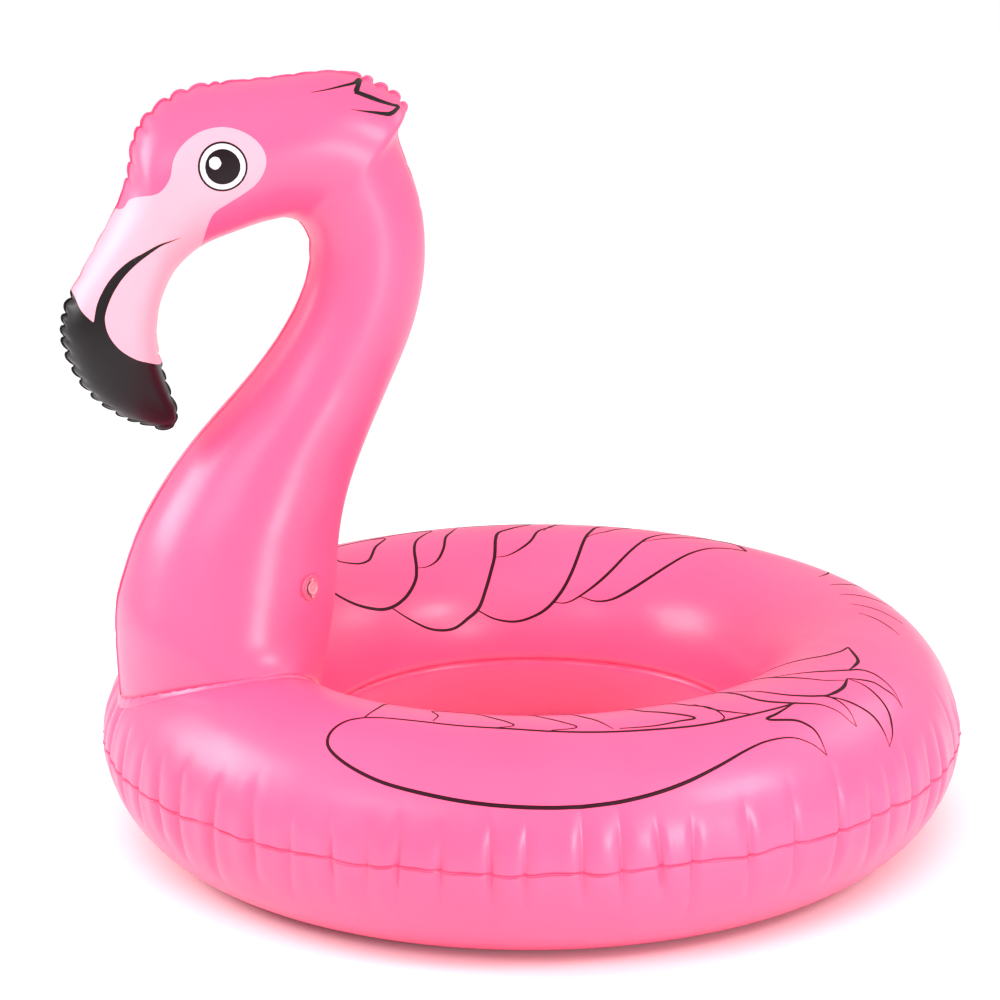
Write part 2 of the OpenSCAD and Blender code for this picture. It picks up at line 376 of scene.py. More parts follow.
# Creases that run in from the neck's edge weld: edge, from s, to s, spacing, depth, reach
NECK_CREASE_RUNS = [
    ("rear", 0.6, 11.6, 44, 0.5, 16),
    ("rear", 12, 14.5, 17, 3.6, 28),
    ("rear", 14.6, 16.4, 24, 0.8, 16),
    ("rear", 16.5, 20.4, 19, 3.4, 32),
    ("rear", 20.6, 23.4, 26, 0.6, 14),
    ("rear", 23.5, 28.6, 15, 3.4, 26),
    ("front", 0.6, 9, 42, 0.5, 16),
    ("front", 9.2, 17, 22, 0.7, 16),
    ("front", 17.2, 23, 19, 0.7, 12),
    ("front", 23.3, 28.5, 16, 1.8, 16),
]
EDGE_ANGLE = {"front": 0.0, "rear": PI}
EDGE_S = np.linspace(0, LAST, 8 * LAST + 1)
EDGE_LENGTH = {name: lengths_along(bare_neck(EDGE_S, angle)) for name, angle in EDGE_ANGLE.items()}


def mean_radius(station):
    """Radius of a circle about as long round as the neck is at a station."""
    front_x, front_z, rear_x, rear_z, half_depth = station
    half_width = np.hypot(front_x - rear_x, front_z - rear_z) / 2
    return np.sqrt((half_width ** 2 + half_depth ** 2) / 2)


MEAN_RADII = [mean_radius(station) for station in STATIONS]

neck_rng = random.Random(8)
NECK_CREASES = []
for edge_name, s_from, s_to, spacing, depth, reach in NECK_CREASE_RUNS:
    run_start, run_end = np.interp([s_from, s_to], EDGE_S, EDGE_LENGTH[edge_name])
    for place in crease_places(run_end - run_start, spacing, neck_rng):
        NECK_CREASES.append({
            "edge": edge_name,
            "place": run_start + place,
            "depth": depth * neck_rng.uniform(0.65, 1.25),
            "reach": reach * neck_rng.uniform(0.7, 1.3),
            "slant": neck_rng.uniform(-0.25, 0.25),
            "width": min(2.4, spacing / 8) * neck_rng.uniform(0.8, 1.2),
        })


def neck_crease(s, a):
    """Inward move of the neck's film."""
    radius = np.interp(s, range(1, LAST + 1), MEAN_RADII)
    total = np.zeros(np.broadcast(s, a).shape)
    for c in NECK_CREASES:
        across = np.abs(a - EDGE_ANGLE[c["edge"]]) * radius
        along = np.interp(s, EDGE_S, EDGE_LENGTH[c["edge"]]) - c["place"] - c["slant"] * across
        total += crease_depth(along, across, c["width"], c["reach"], c["depth"])
    return total


SMOOTH_CORE = 10      # creases and lift fade out on film that is nearer than this to the middle


def neck_skin(s, a, side=-1, lift=0.0):
    """Point of the inflated neck; side is -1 for the left panel and 1 for the right."""
    s, a = np.broadcast_arrays(np.asarray(s, float), np.asarray(a, float))
    points = bare_neck(s, a)
    middle = (bare_neck(s, 0 * a) + bare_neck(s, 0 * a + PI)) / 2
    away = points - middle
    reach = np.linalg.norm(away, axis=-1, keepdims=True)
    ease = np.clip(reach / SMOOTH_CORE, 0, 1)
    points = points + unit(away) * (lift - neck_crease(s, a))[..., None] * ease
    points = points - np.array([0, PANEL_GAP, 0])
    return points * np.array([1, -side, 1])


# -------------------- materials

def shade(r, g, b):
    """Linear colour from the usual 0 to 255 values."""
    def linear(c):
        c = c / 255
        return c / 12.92 if c <= 0.04045 else ((c + 0.055) / 1.055) ** 2.4
    return (linear(r), linear(g), linear(b), 1.0)


def film_material(name, colour, second, roughness=0.36, grain=0.03, coat=0.15, shine=0.5):
    """Satin PVC film: clouded pigment, uneven gloss and a fine calendered grain."""
    material = bpy.data.materials.new(name)
    material.use_nodes = True
    nodes, links = material.node_tree.nodes, material.node_tree.links
    shader = nodes["Principled BSDF"]
    where = nodes.new("ShaderNodeTexCoord")

    def noise(scale, detail):
        """Clouds of that many to the metre."""
        node = nodes.new("ShaderNodeTexNoise")
        node.inputs["Scale"].default_value = scale
        node.inputs["Detail"].default_value = detail
        links.new(where.outputs["Object"], node.inputs["Vector"])
        return node.outputs["Fac"]

    def spread(source, low, high):
        """The middle of a noise's range stretched softly over low to high."""
        node = nodes.new("ShaderNodeMapRange")
        node.interpolation_type = "SMOOTHSTEP"
        node.inputs["From Min"].default_value = 0.2
        node.inputs["From Max"].default_value = 0.8
        node.inputs["To Min"].default_value = low
        node.inputs["To Max"].default_value = high
        links.new(source, node.inputs["Value"])
        return node.outputs["Result"]

    def bump(strength, height, source):
        """A relief of that height in millimetres."""
        node = nodes.new("ShaderNodeBump")
        node.inputs["Strength"].default_value = strength
        node.inputs["Distance"].default_value = height * MM
        links.new(source, node.inputs["Height"])
        return node

    pigment = nodes.new("ShaderNodeMix")
    pigment.data_type = "RGBA"
    pigment.inputs["A"].default_value = colour
    pigment.inputs["B"].default_value = second
    links.new(spread(noise(5, 4), 0, 1), pigment.inputs["Factor"])
    links.new(pigment.outputs["Result"], shader.inputs["Base Color"])
    links.new(spread(noise(22, 3), roughness - 0.04, roughness + 0.05), shader.inputs["Roughness"])

    fine = bump(grain, 0.4, noise(600, 2))
    broad = bump(0.25, 1.5, noise(28, 2))
    links.new(fine.outputs["Normal"], broad.inputs["Normal"])
    links.new(broad.outputs["Normal"], shader.inputs["Normal"])
    shader.inputs["IOR"].default_value = 1.52
    shader.inputs["Coat Weight"].default_value = coat
    shader.inputs["Coat Roughness"].default_value = 0.22
    shader.inputs["Specular IOR Level"].default_value = shine
    return material


def clear_material(name, colour, second):
    """Soft clear moulded PVC, a little cloudy."""
    material = film_material(name, colour, second, roughness=0.2, grain=0.02, coat=0.3)
    shader = material.node_tree.nodes["Principled BSDF"]
    shader.inputs["Transmission Weight"].default_value = 0.35
    return material


PINK = shade(255, 84, 131)
PINK_CLOUD = shade(255, 91, 139)
pink_film = film_material("pink_film", PINK, PINK_CLOUD, roughness=0.35)
neck_film = film_material("neck_film", PINK, PINK_CLOUD, roughness=0.35)
weld_film = film_material("weld_film", PINK, PINK_CLOUD, roughness=0.33)
face_print = film_material("face_print", shade(250, 160, 178), shade(252, 168, 185), roughness=0.42,
                           coat=0.05)
black_print = film_material("black_print", shade(14, 6, 9), shade(20, 10, 14), coat=0.0, shine=0.3)
eye_white = film_material("eye_white", shade(220, 212, 224), shade(228, 221, 231), coat=0.05)
eye_black = film_material("eye_black", shade(22, 8, 13), shade(28, 13, 18), coat=0.0, shine=0.2)
ink = film_material("line_ink", shade(40, 4, 20), shade(50, 7, 27), roughness=0.5, coat=0.0, shine=0.2)
valve_base = clear_material("valve_base", shade(255, 108, 152), shade(255, 118, 160))
valve_body = clear_material("valve_body", shade(255, 150, 172), shade(255, 166, 178))
valve_film = clear_material("valve_film", shade(255, 176, 198), shade(255, 190, 208))


# -------------------- valves' own frames

def record_entry(kind, name):
    """The entry of that name among the joints, or among another of the record's lists."""
    entries = frame["joints"] if kind == "joints" else frame["record"][kind]
    return next(entry for entry in entries if entry["name"] == name)


STEM_PROUD = 2.0      # the valve's mouth over its base's face, where the valve's frame starts
VALVE_HOLE = 10.5     # radius of the film's hole under a valve
VALVES = {}
for valve_name in ("ring", "neck"):
    mouth = record_entry("mounts", valve_name + "_valve_mouth")
    out = unit(np.array(mouth["axis"], float))
    hinge = unit(np.array(record_entry("joints", valve_name + "_flap_swing")["axis"], float))
    VALVES[valve_name] = {
        "origin": np.array(mouth["pos_m"]) / MM - STEM_PROUD * out,
        "axes": np.stack([np.cross(hinge, out), hinge, out]),
    }


def open_for_valve(piece, valve):
    """Cuts a round hole in the film under a valve's base."""
    bm = bmesh.new()
    bm.from_mesh(piece.data)
    centre, out = Vector(valve["origin"] * MM), Vector(valve["axes"][2])
    gone = [f for f in bm.faces if (f.calc_center_median() - centre).length < VALVE_HOLE * MM]
    touched = {v for f in gone for v in f.verts}
    rim = [v for v in touched if any(f not in gone for f in v.link_faces)]
    for v in rim:
        offset = v.co - centre
        flat = offset - out * offset.dot(out)
        v.co += flat.normalized() * (VALVE_HOLE * MM - flat.length)
    bmesh.ops.delete(bm, geom=gone, context="FACES")
    bm.to_mesh(piece.data)
    bm.free()


# -------------------- ring

CREASE_STEPS = 12     # mesh columns from one crease to the next
FINE_BAND = 60        # the band beside the outer weld that has the closer rows
SHEET_EDGE = 0.4      # the sheets' edges to the middle of the weld


def ring_columns():
    """Angles round the ring, closer together at the creases."""
    angles = [c["angle"] for c in RING_CREASES]
    angles.append(angles[0] + 2 * PI)
    steps = closer_at_ends(np.arange(CREASE_STEPS) / CREASE_STEPS, 0.6)
    return np.concatenate([a + (b - a) * steps for a, b in zip(angles, angles[1:])])


def ring_rows():
    """Angles round the tube from the outer weld to the inner, closer together at the outer."""
    near = np.linspace(SHEET_EDGE, FINE_BAND, 26)
    far = np.linspace(FINE_BAND, PI * TUBE_R - SHEET_EDGE, 38)[1:]
    return np.concatenate([near, far]) / TUBE_R


def ring_sheet(name, low):
    """The upper sheet, or the lower one if low."""
    columns, rows = ring_columns(), ring_rows()
    points = ring_skin(columns[None, :], (-rows if low else rows)[:, None])
    faces = grid_faces(len(rows), len(columns), wrap_columns=True, flip=low)
    sheet = new_mesh(name, points.reshape(-1, 3), faces, pink_film)
    if not low:
        open_for_valve(sheet, VALVES["ring"])
    give_thickness(sheet, FILM)
    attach(sheet, "float")
    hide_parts("ring_bottom_sheet" if low else "ring_top_sheet")


def flange(root, away, across, width, flutter, outline, bend):
    """Points of a thin flange along the line root. Each point of its outline is a share of the width
    outward, or millimetres inward where it is negative, and a height across. The flange flutters to
    and fro towards its edge, with the share to the power of bend."""
    return np.stack([
        root + away * (width * max(share, 0) + min(share, 0))
        + across * (height + flutter * max(share, 0) ** bend)
        for share, height in outline], 1).reshape(-1, 3)


RING_FLANGE = [(-1.2, 0.4), (0.3, 0.38), (1, 0.2), (1, -0.2), (0.3, -0.38), (-1.2, -0.4)]
EDGE_FLANGE = [(-1.5, 0.4), (0.35, 0.38), (1, 0.22), (1, -0.22), (0.35, -0.38), (-1.5, -0.4)]


def ring_weld(name, v, width, node):
    """The narrow flat flange where the two sheets are welded, puckered with them."""
    columns = ring_columns()
    root = ring_skin(columns, np.full(len(columns), v))
    away = unit(root * [1, 1, 0] - [RING_X, 0, 0]) * math.cos(v)
    pinch = ring_crease(columns, np.full(len(columns), v)) if v == 0 else 0 * columns
    drawn_in = 0.8 * np.clip(pinch / 3, 0, 1)
    widths = width * (1 + waves(columns, (0.18, 19, 0), (0.1, 43, 0))) * (1 - drawn_in)
    flutter = waves(columns, (0.35, 31, 1), (0.3, 53, 0))
    up = np.array([0, 0, 1.0])
    points = flange(root, away, up, widths[:, None], flutter[:, None], RING_FLANGE, bend=1)
    weld = new_mesh(name, points, grid_faces(len(columns), len(RING_FLANGE), True, True), weld_film)
    fix_normals(weld)
    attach(weld, "float")
    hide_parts(node)


# -------------------- neck and head

def inside_distance(points, outline):
    """Distance of x-z points inside a closed outline, negative outside it."""
    x, z = points[:, 0], points[:, 1]
    best = np.full(len(points), 1e9)
    inside = np.zeros(len(points), bool)
    for (ax, az), (bx, bz) in zip(outline, np.roll(outline, -1, axis=0)):
        dx, dz = bx - ax, bz - az
        if dx == dz == 0:
            continue
        t = np.clip(((x - ax) * dx + (z - az) * dz) / (dx * dx + dz * dz), 0, 1)
        best = np.minimum(best, np.hypot(x - ax - t * dx, z - az - t * dz))
        if az != bz:
            crosses = (az > z) != (bz > z)
            inside ^= crosses & (x < ax + dx * (z - az) / dz)
    return np.where(inside, best, -best)


# Films and inks of the neck and head, in the order of the mesh's material slots
HEAD_FILMS = {
    "pink": neck_film,
    "face": face_print,
    "black": black_print,
    "eye_black": eye_black,
    "eye_white": eye_white,
}

# Outlines of the prints on the head, seen from the side, as x and z. An outline runs through its
# curves and then straight through its rest, which lies outside the head.
FACE_EDGE = [(-445, 684), (-412, 693), (-402, 705), (-391, 711), (-377, 716), (-369, 724), (-364, 734),
             (-362, 745), (-356, 757), (-345, 768), (-330, 776), (-311, 779), (-293, 775), (-278, 765),
             (-270, 751), (-271, 737), (-279, 723), (-292, 713), (-308, 703), (-322, 693), (-328, 678),
             (-331, 660), (-333, 638)]
FACE_REST = [(-333, 440), (-520, 440), (-520, 670)]
BEAK_TOP = [(-500, 632), (-466, 616), (-455, 595), (-444, 584)]
MOUTH_UPPER = [(-444, 584), (-440, 602), (-433, 617), (-425, 629), (-415, 640), (-404, 649),
               (-390, 657)]
MOUTH_LOWER = [(-389, 653.5), (-400, 644), (-410, 634), (-418.5, 623), (-426, 610), (-431.5, 596),
               (-433, 586), (-430, 572), (-420, 557), (-404, 545), (-388, 538), (-371, 530), (-350, 525)]
BEAK_REST = [(-330, 440), (-520, 440)]
EYE_CENTRE = (-313, 741)
EYE_RINGS = [(24.8, "eye_black"), (22.7, "eye_white"), (17.6, "eye_black")]
GLINT_CENTRE = (-320.5, 745)
GLINT_R = 6.3


def circle_field(centre, radius):
    """A function that gives points' distance inside a circle."""
    return lambda p: radius - np.hypot(p[:, 0] - centre[0], p[:, 1] - centre[1])


def outline_field(curves, rest):
    """A function that gives points' distance inside an outline."""
    outline = np.vstack([curve_through(curve, 5) for curve in curves] + [rest])
    return lambda p: inside_distance(p, outline)


PRINTS = [(outline_field([FACE_EDGE], FACE_REST), "face"),
          (outline_field([BEAK_TOP, MOUTH_UPPER, MOUTH_LOWER], BEAK_REST), "black")]
PRINTS += [(circle_field(EYE_CENTRE, radius), eye_ink) for radius, eye_ink in EYE_RINGS]
PRINTS += [(circle_field(GLINT_CENTRE, GLINT_R), "eye_white")]
ON_LINE = 0.03        # a vertex this near to a print's outline counts as on it


def print_patches(piece, on_head):
    """Cuts the film along each print's outline and gives the faces inside it their ink, each print
    over the ones before it. on_head says which of the mesh's vertices belong to the head."""
    bm = bmesh.new()
    bm.from_mesh(piece.data)
    bm.verts.ensure_lookup_table()
    head = {v for v, yes in zip(bm.verts, on_head) if yes}
    for field, print_ink in PRINTS:
        verts = [v for v in bm.verts if v in head]
        values = field(np.array([[v.co.x / MM, v.co.z / MM] for v in verts]))
        values = np.where(np.abs(values) < ON_LINE, 0, values)
        value = dict(zip(verts, values))
        crossing = [e for e in bm.edges if value.get(e.verts[0], 0) * value.get(e.verts[1], 0) < 0]
        for edge in crossing:
            a, b = edge.verts
            share = value[a] / (value[a] - value[b])
            _, cut = bmesh.utils.edge_split(edge, a, share)
            value[cut] = 0.0
            head.add(cut)
        edge_faces = {f for v, x in value.items() if x == 0 for f in v.link_faces}
        for face in edge_faces:
            on_line = [v for v in face.verts if value.get(v, 1) == 0]
            if len(on_line) == 2 and not bm.edges.get(on_line):
                bmesh.utils.face_split(face, *on_line)
        for face in bm.faces:
            if all(v in value for v in face.verts) and sum(value[v] for v in face.verts) > 0:
                face.material_index = list(HEAD_FILMS).index(print_ink)
    bm.to_mesh(piece.data)
    bm.free()


NECK_TOP_S = 9        # from here on the mesh's rows are closer together
HEAD_FROM_S = 13.5    # the prints are on the film past here


def neck_rows(first, neck_count, head_count):
    """Stations of a mesh's rows, from first to the top of the neck, over the head and round the tip."""
    return np.concatenate([np.linspace(first, NECK_TOP_S, neck_count)[:-1],
                           np.linspace(NECK_TOP_S, LAST, head_count),
                           LAST + np.linspace(0, 1, TIP_STEPS)[1:]])


def neck_panel(name, side, node):
    """The left panel, side -1, or the right one, side 1."""
    rows = neck_rows(0, 82, 381)
    angles = PI * closer_at_ends(np.linspace(0, 1, 69), 0.45)
    points = neck_skin(rows[:, None], angles[None, :], side)
    faces = grid_faces(len(rows), len(angles), flip=side > 0)
    panel = new_mesh(name, points.reshape(-1, 3), faces, list(HEAD_FILMS.values()))
    print_patches(panel, np.repeat(rows > HEAD_FROM_S, len(angles)))
    if side < 0:
        open_for_valve(panel, VALVES["neck"])
    give_thickness(panel, FILM)
    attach(panel, "float")
    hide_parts(node)


# Width of the edge weld against s, up the front edge and up the rear edge
WELD_WIDTHS = {
    "front": [(0, 1.3), (9, 1.1), (23, 1), (25, 1.5), (30, 1.8)],
    "rear": [(0, 1.1), (11, 1.1), (12.2, 2.2), (14.3, 2.8), (15, 1.4), (16.4, 1.6), (17, 2.4),
             (20, 2.2), (21, 1.2), (23.3, 1.3), (24, 1.8), (30, 1.8)],
}


def bare_line(points):
    """A line with its small creases averaged out."""
    smooth = points.copy()
    for _ in range(12):
        smooth[1:-1] = (smooth[:-2] + 2 * smooth[1:-1] + smooth[2:]) / 4
    return smooth


def up_and_back(front, rear):
    """One run up the front edge, round the tip and back down the rear edge."""
    return np.concatenate([front, rear[-2::-1]])


def neck_edge_weld():
    """The flange all round the neck and head, scalloped between the creases."""
    rows = neck_rows(0.02, 120, 560)
    roots, widths = [], []
    for edge_name, edge_angle in EDGE_ANGLE.items():
        a = np.full(len(rows), edge_angle)
        pinch = np.clip(neck_crease(rows, a), -0.7, 2.6)
        roots.append(neck_skin(rows, a) * [1, 0, 1])
        widths.append(np.interp(rows, *zip(*WELD_WIDTHS[edge_name])) * (1 - 0.12 * pinch))
    root, width, s = up_and_back(*roots), up_and_back(*widths), up_and_back(rows, rows)
    along = np.gradient(bare_line(root), axis=0)
    away = unit(np.stack([-along[:, 2], 0 * s, along[:, 0]], -1))
    flutter = waves(np.arange(len(s)), (0.5, 0.21, 0), (0.35, 0.093, 1))
    side = np.array([0, 1.0, 0])
    points = flange(root, away, side, width[:, None], flutter[:, None], EDGE_FLANGE, bend=2)
    weld = new_mesh("neck_edge_weld", points, capped_tube_faces(len(s), len(EDGE_FLANGE)),
                    [weld_film] + list(HEAD_FILMS.values())[1:])
    print_patches(weld, np.repeat(s > HEAD_FROM_S, len(EDGE_FLANGE)))
    fix_normals(weld)
    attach(weld, "float")
    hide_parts("neck_edge_seam")


# The foot's bead in section, outward from the foot's line and up from the ring's skin
BEAD = [(-3.5, -2.5), (-1.5, 1), (0.4, 1.9), (1.2, 1.4), (2, 0.8), (3, 0.1), (3.8, -1),
        (3.6, -2.6)]
BEAD_CROWN = 0.5      # points higher than this are its crown, which ripples


def neck_base_weld():
    """The bead of film welded down round the neck's foot, which stands up most at the front."""
    turns = np.linspace(0, 2 * PI, 361)[:-1]
    inner = foot(turns, 0.0)
    ahead = unit(inner * [1, 1, 0] - [RING_X - FOOT_AHEAD, 0, 0])
    from_front = (turns + PI) % (2 * PI) - PI
    swell = (1 + 0.9 * np.exp(-from_front ** 2 / 0.5)) * (1 + waves(turns, (0.16, 47, 0), (0.1, 83, 1)))
    points = []
    for outward, height in BEAD:
        spot = inner + ahead * outward
        rho = np.hypot(spot[:, 0] - RING_X, spot[:, 1])
        v = np.arccos(np.clip((rho - RING_R) / TUBE_R, -1, 1))
        rise = height * swell if height > BEAD_CROWN else height
        points.append(np.stack([spot[:, 0], spot[:, 1], SEAM_Z + TUBE_R * np.sin(v) + rise], -1))
    weld = new_mesh("neck_base_weld", np.stack(points, 1).reshape(-1, 3),
                    grid_faces(len(turns), len(BEAD), True, True), weld_film)
    fix_normals(weld)
    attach(weld, "float")
    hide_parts("neck_base_seam")


# -------------------- printed lines

# A line of ink in section: shares of its half width, and of its height over the film
INK_SECTION = [(-1, 0.3), (-0.5, 1), (0.5, 1), (1, 0.3), (0.5, -0.8), (-0.5, -0.8)]
INK_SPREAD = 1.15     # the printed line's width over the widths listed below


def ribbon(surface, path, width, lift):
    """Points and faces of a thin line of ink that lies on surface(u, v, lift). path holds u and v,
    width is in millimetres at each point."""
    step = 1e-4
    u, v = path[:, 0], path[:, 1]
    du = (surface(u + step, v, 0) - surface(u - step, v, 0)) / (2 * step)
    dv = (surface(u, v + step, 0) - surface(u, v - step, 0)) / (2 * step)
    normal = unit(np.cross(du, dv))
    along = unit(np.gradient(surface(u, v, 0), axis=0))
    across = unit(np.cross(normal, along))
    uu, uv, vv = (du * du).sum(-1), (du * dv).sum(-1), (dv * dv).sum(-1)
    ua, va = (du * across).sum(-1), (dv * across).sum(-1)
    det = uu * vv - uv * uv
    move = np.stack([(vv * ua - uv * va) / det, (uu * va - uv * ua) / det], -1)
    layers = []
    for share, height in INK_SECTION:
        spot = path + move * (share * width / 2)[:, None]
        layers.append(surface(spot[:, 0], spot[:, 1], height * lift))
    return np.stack(layers, 1).reshape(-1, 3), capped_tube_faces(len(path), len(layers))


def even_path(points, surface, spacing):
    """Evenly spaced path on the surface through given points."""
    fine = curve_through(points, 12)
    length = lengths_along(surface(fine[:, 0], fine[:, 1], 0))
    at = np.linspace(0, length[-1], max(6, int(length[-1] / spacing)))
    return np.stack([np.interp(at, length, fine[:, 0]), np.interp(at, length, fine[:, 1])], -1)


def line_width(count, width, start, end, taper, least):
    """Width along a line that tapers to the shares start and end of it at its ends. Each taper
    takes that share of the line, and no point is narrower than the share least."""
    t = np.linspace(0, 1, count)
    swell = np.minimum(start + (1 - start) * t / taper, end + (1 - end) * (1 - t) / taper)
    return INK_SPREAD * width * np.clip(swell, least, 1)


# How the lines on the ring and on the head are drawn
RING_STYLE = {"units": (DEGREE, DEGREE), "spacing": 2.4, "lift": 0.22, "taper": 0.3, "least": 0.3}
HEAD_STYLE = {"units": (1, DEGREE), "spacing": 1.2, "lift": 0.1, "taper": 0.9, "least": 0.08}


def ink_lines(name, lines, surface, style, material):
    """All the lines of one print as one piece. The style's units turn the paths' numbers into the
    surface's own, and its spacing and lift are in millimetres."""
    ribbons = []
    for width, start, end, path in lines:
        way = even_path(np.array(path) * style["units"], surface, style["spacing"])
        widths = line_width(len(way), width, start, end, style["taper"], style["least"])
        ribbons.append(ribbon(surface, way, widths, style["lift"]))
    piece = new_mesh(name, *joined(ribbons), material)
    fix_normals(piece)
    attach(piece, "float")


# The wing print: width, taper at start and end, then degrees round the ring from the beak and
# degrees round the tube from the outer weld. The same wing is on both sides.
WING = [
    (3.6, 0.7, 0.25, [
        (50, 80), (48, 75), (47, 68), (47, 61), (48, 55), (50.5, 49.5), (54, 44.5), (58, 40.5), (64, 37),
        (69.5, 34.5), (75.5, 33), (81.5, 32.5), (87, 33.5), (92, 36), (97, 40), (102.5, 46), (107, 51),
        (111, 53.5), (115, 52), (117.5, 46), (119, 38)]),
    (3, 0.1, 0.5, [(119, 38), (119.5, 50), (119, 56), (117.5, 61), (113.5, 66), (116, 68), (120, 71)]),
    (2.8, 0.8, 0.8, [
        (50, 80), (53.5, 83), (59, 84), (65.5, 83), (73, 82), (80, 79), (88, 76), (95.5, 74), (103, 72),
        (111, 72), (121, 71)]),
    (3.4, 0.5, 0.4, [
        (50, 80), (50, 94), (49, 110), (49.5, 125), (53, 136), (59, 143), (64, 144), (69, 140),
        (73, 132), (75, 123), (77, 108), (79, 98), (82, 89), (84, 82), (80, 80)]),
    (2.8, 0.4, 0.3, [
        (61, 86), (61, 94), (59, 103), (62, 110), (65, 110), (67, 106), (70, 97), (73, 90), (74, 85),
        (70, 82)]),
    (2.8, 0.2, 0.3, [(75, 123), (78, 123), (81, 119), (83.5, 110), (85.5, 97), (87.5, 89), (89.5, 78)]),
    (3.5, 0.4, 0.4, [
        (63.5, 144), (67, 151), (72, 158), (76.5, 161), (81, 161), (85, 157), (88.5, 152), (91, 142),
        (93, 131), (94.5, 120), (95.5, 104), (96.5, 96), (99, 90), (103, 79), (100, 78), (96, 77),
        (90.5, 78)]),
    (3, 0.2, 0.3, [
        (94.5, 121), (97.5, 120), (100.5, 115), (103, 107), (104.5, 95), (107, 86), (107.5, 75),
        (106, 72)]),
    (2.4, 0.2, 0.5, [(105.5, 95), (107, 84), (109.5, 77), (112, 72)]),
    (3.5, 0.4, 0.2, [
        (88, 153), (92.5, 158), (98, 160), (103, 158), (107.5, 153), (111, 144), (113, 133), (114, 120),
        (114.5, 102), (115, 93), (115.5, 84), (117, 78), (120, 72), (122.5, 68), (124.5, 64), (126, 57),
        (126.5, 50), (127, 46)]),
    (2.8, 0.1, 0.3, [
        (127, 46), (128, 55), (128, 62), (127, 68), (124.5, 72), (121.5, 78), (119.5, 85), (118, 92),
        (116, 97), (114.5, 103)]),
    (3.4, 0.2, 0.2, [
        (109, 150), (112.5, 150), (116, 146), (120, 138), (123, 128), (125, 116), (126.5, 103),
        (127, 97), (128, 91), (129, 86), (131, 78), (134, 72)]),
    (2.8, 0.3, 0.1, [
        (126.5, 102), (129.5, 95), (132.5, 88), (135.5, 81), (138, 76), (140, 72), (141, 66), (141, 59),
        (140.5, 52), (139, 43)]),
    (2.6, 0.1, 0.5, [(139, 43), (139.5, 50), (139, 56), (138.5, 62), (137, 67), (135, 72)]),
    (3.6, 0.5, 0.5, [(135, 72), (132.5, 69), (130.5, 68), (128, 68), (126.5, 69)]),
    (2.8, 0.4, 0.1, [(127, 68), (129, 62), (130.5, 55), (131.5, 47), (131.5, 39), (131, 30)]),
    (2.8, 0.1, 0.4, [(131, 30), (133, 35), (134.5, 41), (135.5, 47), (136, 55), (136, 64), (135, 72)]),
    (3.6, 0.2, 0.6, [
        (116, 146), (120.5, 148), (125, 146), (129.5, 139), (133.5, 129), (136.5, 118), (139, 105),
        (141.5, 95), (145, 89), (148, 87)]),
    (3.4, 0.6, 0.3, [(148, 87), (145.5, 82), (143, 77), (140.5, 76), (138, 76)]),
]

# A plain fan of feather strokes over the tail
TAIL = [
    (2.6, 0.2, 0.2, [(180, 88), (180, 71), (180, 55)]),
    (2.4, 0.2, 0.2, [(174, 87), (172.5, 73), (170, 59)]),
    (2.4, 0.2, 0.2, [(186, 87), (187.5, 73), (190, 59)]),
    (2.2, 0.2, 0.2, [(168.5, 85), (166, 75), (162, 64)]),
    (2.2, 0.2, 0.2, [(191.5, 85), (194, 75), (198, 64)]),
]

# Prints on the head: stations from the foot and degrees from the front edge
MOUTH = [(4.5, 1, 0.05, [(21.3, 104.5), (20.7, 94), (19.95, 81.5), (18.95, 65.5), (18.3, 57)])]
CREST = [
    (4.6, 0.15, 1, [(15.35, 145), (15.05, 147), (14.75, 152), (14.5, 159), (14.4, 167), (14.3, 173)]),
    (5.2, 0.6, 1, [(14.35, 169), (14.4, 155), (14.4, 148)]),
    (7.2, 0.75, 0.4, [(14.45, 148), (14.15, 148), (13.8, 149.5), (13.5, 153.5), (13.3, 159)]),
    (6.2, 0.5, 0.05, [
        (13.3, 159), (13.35, 150.5), (13.4, 145), (13.5, 140.5), (13.8, 135.5), (14.1, 132),
        (14.35, 130.5)]),
]


def ring_side(side):
    """The ring's skin, with angles from the beak to the left, side -1, or to the right, side 1."""
    return lambda theta, v, lift: ring_skin(-side * theta, v, lift)


def head_side(side):
    """The left panel's skin, side -1, or the right panel's, side 1."""
    return lambda s, a, lift: neck_skin(s, a, side, lift)


# -------------------- valve pieces

def placed(points, valve):
    """Points in the valve's own frame turned into the float's."""
    return np.asarray(points, float) @ valve["axes"] + valve["origin"]


def lathe(profile, steps=72, ripple=None):
    """Points and faces of a closed outline of (radius, height) turned about the valve's axis."""
    points = []
    for t in np.linspace(0, 2 * PI, steps, endpoint=False):
        for index, (r, z) in enumerate(profile):
            extra = ripple(t, index) if ripple else 0
            points.append((r * math.cos(t), r * math.sin(t), z + extra))
    return points, grid_faces(steps, len(profile), True, True)


PLATE_REACH = 4       # a plate's edge to its middle, roughly


def plate(outline, low, high, bevel):
    """Points and faces of a flat plate with rounded edges over an x-y outline."""
    outline = np.asarray(outline, float)
    middle = outline.mean(0)
    layers = [(-bevel, low), (0, low + bevel), (0, high - bevel), (-bevel, high)]
    points = []
    for inset, z in layers:
        points += [(x, y, z) for x, y in middle + (outline - middle) * (1 + inset / PLATE_REACH)]
    return points, capped_tube_faces(len(layers), len(outline))


def valve_piece(node, valve, shells, material, slot):
    """One piece from several closed shells that overlap, in the valve's own frame. It takes the
    place of that CAD node."""
    points, faces = joined(shells)
    piece = new_mesh(node + "_moulding", placed(points, valve), faces, material)
    fix_normals(piece)
    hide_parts(node)
    return piece


